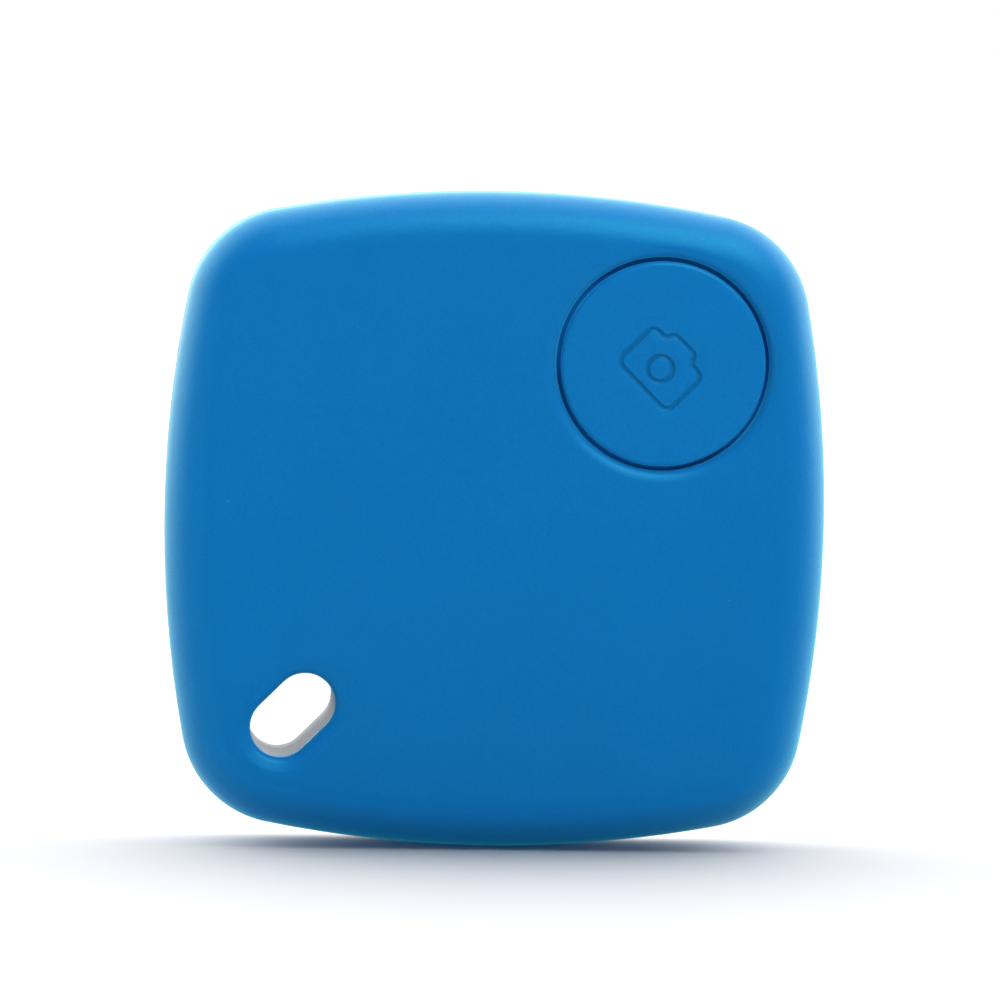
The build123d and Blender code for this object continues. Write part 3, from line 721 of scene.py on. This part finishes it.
def metal(name, colour, rough):
    """Bare metal with fine marks and a little tarnish."""
    s = Shader(name)
    marks = s.noise(METAL_MARKS)
    tarnish = s.spread(s.noise(TARNISH), 0, 0.5, 0.45, 0.75)
    base = s.mix(tarnish, colour, shade(colour, 0.72))
    s.bump(marks, 0.003)
    s.set(Base_Color=base, Metallic=1.0, Roughness=s.spread(marks, rough - 0.06, rough + 0.1))
    return s.material


def laminate(name, colour):
    """Circuit board: solder mask with faint tracks and a glossy skin."""
    s = Shader(name)
    parts = s.add("ShaderNodeSeparateXYZ")
    face = s.add("ShaderNodeCombineXYZ")
    s.link(s.place, parts.inputs[0])
    s.link(parts.outputs["X"], face.inputs["X"])
    s.link(parts.outputs["Z"], face.inputs["Y"])
    tracks = s.add("ShaderNodeTexBrick", offset=0.37)
    s.link(face.outputs[0], tracks.inputs["Vector"])
    tracks.inputs["Scale"].default_value = 1
    tracks.inputs["Mortar Size"].default_value = TRACK_GAP
    tracks.inputs["Brick Width"].default_value = TRACK_LENGTH
    tracks.inputs["Row Height"].default_value = TRACK_SPACING
    base = s.mix(tracks.outputs["Fac"], colour, shade(colour, 1.3))
    s.bump(s.noise(BOARD_UNEVEN), 0.004)
    s.set(Base_Color=base, Roughness=0.3, Coat_Weight=0.4, Coat_Roughness=0.15)
    return s.material


def slot_colour(node):
    """The slot, class and colour of a CAD node: the record's, but the case's greys are painted shade.
    """
    record = frame["record"]
    slot = next(s["material_slot"] for s in record["subparts"] if s["node"] == node)
    finish = next(m for m in record["materials"] if m["slot"] == slot)
    painted_shade_greys = {"grey_frame": FRAME_PAINTED_SHADE_GREY, "grey_back": BACK_PAINTED_SHADE_GREY, "grey_door": BACK_PAINTED_SHADE_GREY}
    return slot, finish["class"], painted_shade_greys.get(slot, tuple(finish["base_color"][:3]))


def cad_materials():
    """Every CAD node gets the node material for its class. Gives back the material of each slot."""
    made = {}
    for node, piece in frame["nodes"].items():
        slot, kind, colour = slot_colour(node)
        if slot not in made:
            if kind in ("brushed_steel", "chrome", "brass"):
                made[slot] = metal(slot, colour, 0.22 if kind == "chrome" else 0.34)
            elif slot == "board_laminate":
                made[slot] = laminate(slot, colour)
            elif kind in ("rubber", "ceramic", "paper"):
                made[slot] = moulded(slot, colour, 0.6, 0.1, 0.004)
            elif kind == "gloss_plastic":
                made[slot] = moulded(slot, colour, 0.2, 0.4, 0.002, 0.5)
            else:
                made[slot] = moulded(slot, colour)
        piece.data.materials.clear()
        piece.data.materials.append(made[slot])
        piece.data.polygons.foreach_set("use_smooth", [True] * len(piece.data.polygons))
        weld = piece.modifiers.new("weld", "WELD")
        weld.merge_threshold = 0.002 * MM
        split = piece.modifiers.new("sharp_edges", "EDGE_SPLIT")
        split.split_angle = math.radians(32)
        even_normals(piece)
    return made


# ---- Stage, light and camera -----------------------------------------------------------------


def build_stage():
    """A plain pale floor, wide enough to fill the picture."""
    mesh = bmesh.new()
    corners = ((-1, -1), (1, -1), (1, 1), (-1, 1))
    reach = FLOOR_REACH * MM
    mesh.faces.new([mesh.verts.new((x * reach, y * reach, cad_low.z)) for x, y in corners])
    data = bpy.data.meshes.new("floor")
    mesh.to_mesh(data)
    mesh.free()
    s = Shader("pale_floor")
    s.set(Base_Color=FLOOR_COLOUR, Roughness=0.9)
    data.materials.append(s.material)
    floor_piece = bpy.data.objects.new("floor", data)
    bpy.context.scene.collection.objects.link(floor_piece)


def build_light():
    """A light tent: bright at the sides, behind and above, dark in front, and plain white to see."""
    world = bpy.data.worlds.new("studio")
    world.use_nodes = True
    tree = world.node_tree
    place = tree.nodes.new("ShaderNodeTexCoord")
    parts = tree.nodes.new("ShaderNodeSeparateXYZ")
    tree.links.new(place.outputs["Generated"], parts.inputs[0])

    def fade(axis, start, end, low, high):
        """A soft step from low to high along one direction of the tent."""
        node = tree.nodes.new("ShaderNodeMapRange")
        node.interpolation_type = "SMOOTHSTEP"
        tree.links.new(parts.outputs[axis], node.inputs["Value"])
        settings = (("From Min", start), ("From Max", end), ("To Min", low), ("To Max", high))
        for key, number in settings:
            node.inputs[key].default_value = number
        return node.outputs["Result"]

    def product(first, second):
        """Two values multiplied."""
        node = tree.nodes.new("ShaderNodeMath")
        node.operation = "MULTIPLY"
        tree.links.new(first, node.inputs[0])
        tree.links.new(second, node.inputs[1])
        return node.outputs[0]

    front_to_side = fade("Y", TENT_DARK, TENT_BRIGHT, TENT_FRONT, TENT_SIDE)
    sides = product(front_to_side, fade("Y", 0, TENT_BACK, 1, TENT_BACK_SHARE))
    tent = product(sides, fade("Z", 0, 1, 1, TENT_TOP_SHARE))
    seen = tree.nodes.new("ShaderNodeMix")
    path = tree.nodes.new("ShaderNodeLightPath")
    tree.links.new(path.outputs["Is Camera Ray"], seen.inputs["Factor"])
    tree.links.new(tent, seen.inputs["A"])
    seen.inputs["B"].default_value = TENT_SEEN
    background = tree.nodes["Background"]
    background.inputs["Color"].default_value = (1, 1, 1, 1)
    tree.links.new(seen.outputs["Result"], background.inputs["Strength"])
    bpy.context.scene.world = world


def direction(right, above):
    """A direction from the tag's front, turned to the right and upwards by angles in radians."""
    level = math.cos(above)
    return Vector((math.sin(right) * level, -math.cos(right) * level, math.sin(above)))


def build_softbox(tag, right, above, size, power):
    """A softbox in front that lights and is blocked by the tag alone, so the floor stays as it is."""
    data = bpy.data.lights.new("softbox", "AREA")
    data.shape = "DISK"
    data.size = size * MM
    data.energy = power
    softbox = bpy.data.objects.new("softbox", data)
    back = direction(math.radians(right), math.radians(above))
    softbox.location = back * SOFTBOX_DISTANCE * MM
    softbox.rotation_euler = back.to_track_quat("Z", "Y").to_euler()
    softbox.light_linking.receiver_collection = tag
    softbox.light_linking.blocker_collection = tag
    bpy.context.scene.collection.objects.link(softbox)


def build_camera():
    """The camera in front of the tag, a little to its left and above, looking at its middle."""
    back = direction(CAMERA_AZIMUTH, CAMERA_ELEVATION)
    turn = back.to_track_quat("Z", "Y") @ Quaternion((0, 0, 1), CAMERA_ROLL)
    data = bpy.data.cameras.new("camera")
    data.lens = CAMERA_LENS
    data.sensor_width = CAMERA_SENSOR
    data.clip_start, data.clip_end = 0.01, 10
    camera = bpy.data.objects.new("camera", data)
    camera.rotation_mode = "QUATERNION"
    camera.rotation_quaternion = turn
    offset = turn @ Vector((-CAMERA_AIM[0], -CAMERA_AIM[1], CAMERA_DISTANCE))
    camera.location = offset * MM
    bpy.context.scene.collection.objects.link(camera)
    bpy.context.scene.camera = camera


slot_materials = cad_materials()
# The bare plastic is brighter than the paint: painted bounce light that keeps the deep gaps blue.
bare_blue_painted_bounce = moulded("bare_plastic_painted_bounce", BARE_BLUE_PAINTED_BOUNCE)
shell = front_cover(soft_touch("soft_touch_blue", PAINT), bare_blue_painted_bounce)
button = button_cap(
    soft_touch("soft_touch_button", shade(PAINT, BUTTON_SHADE)),
    bare_blue_painted_bounce,
    soft_touch("soft_touch_symbol_painted_shade", shade(PAINT, SYMBOL_PAINTED_SHADE)),
)
build_stage()
build_light()
dome = snap_dome(slot_materials["spring_steel"])
tag = bpy.data.collections.new("tag")
for piece in (*frame["nodes"].values(), shell, button, dome):
    tag.objects.link(piece)
build_softbox(tag, *KEY_LIGHT)
build_softbox(tag, *FILL_LIGHT)
build_camera()
bpy.context.scene.view_settings.view_transform = "Standard"
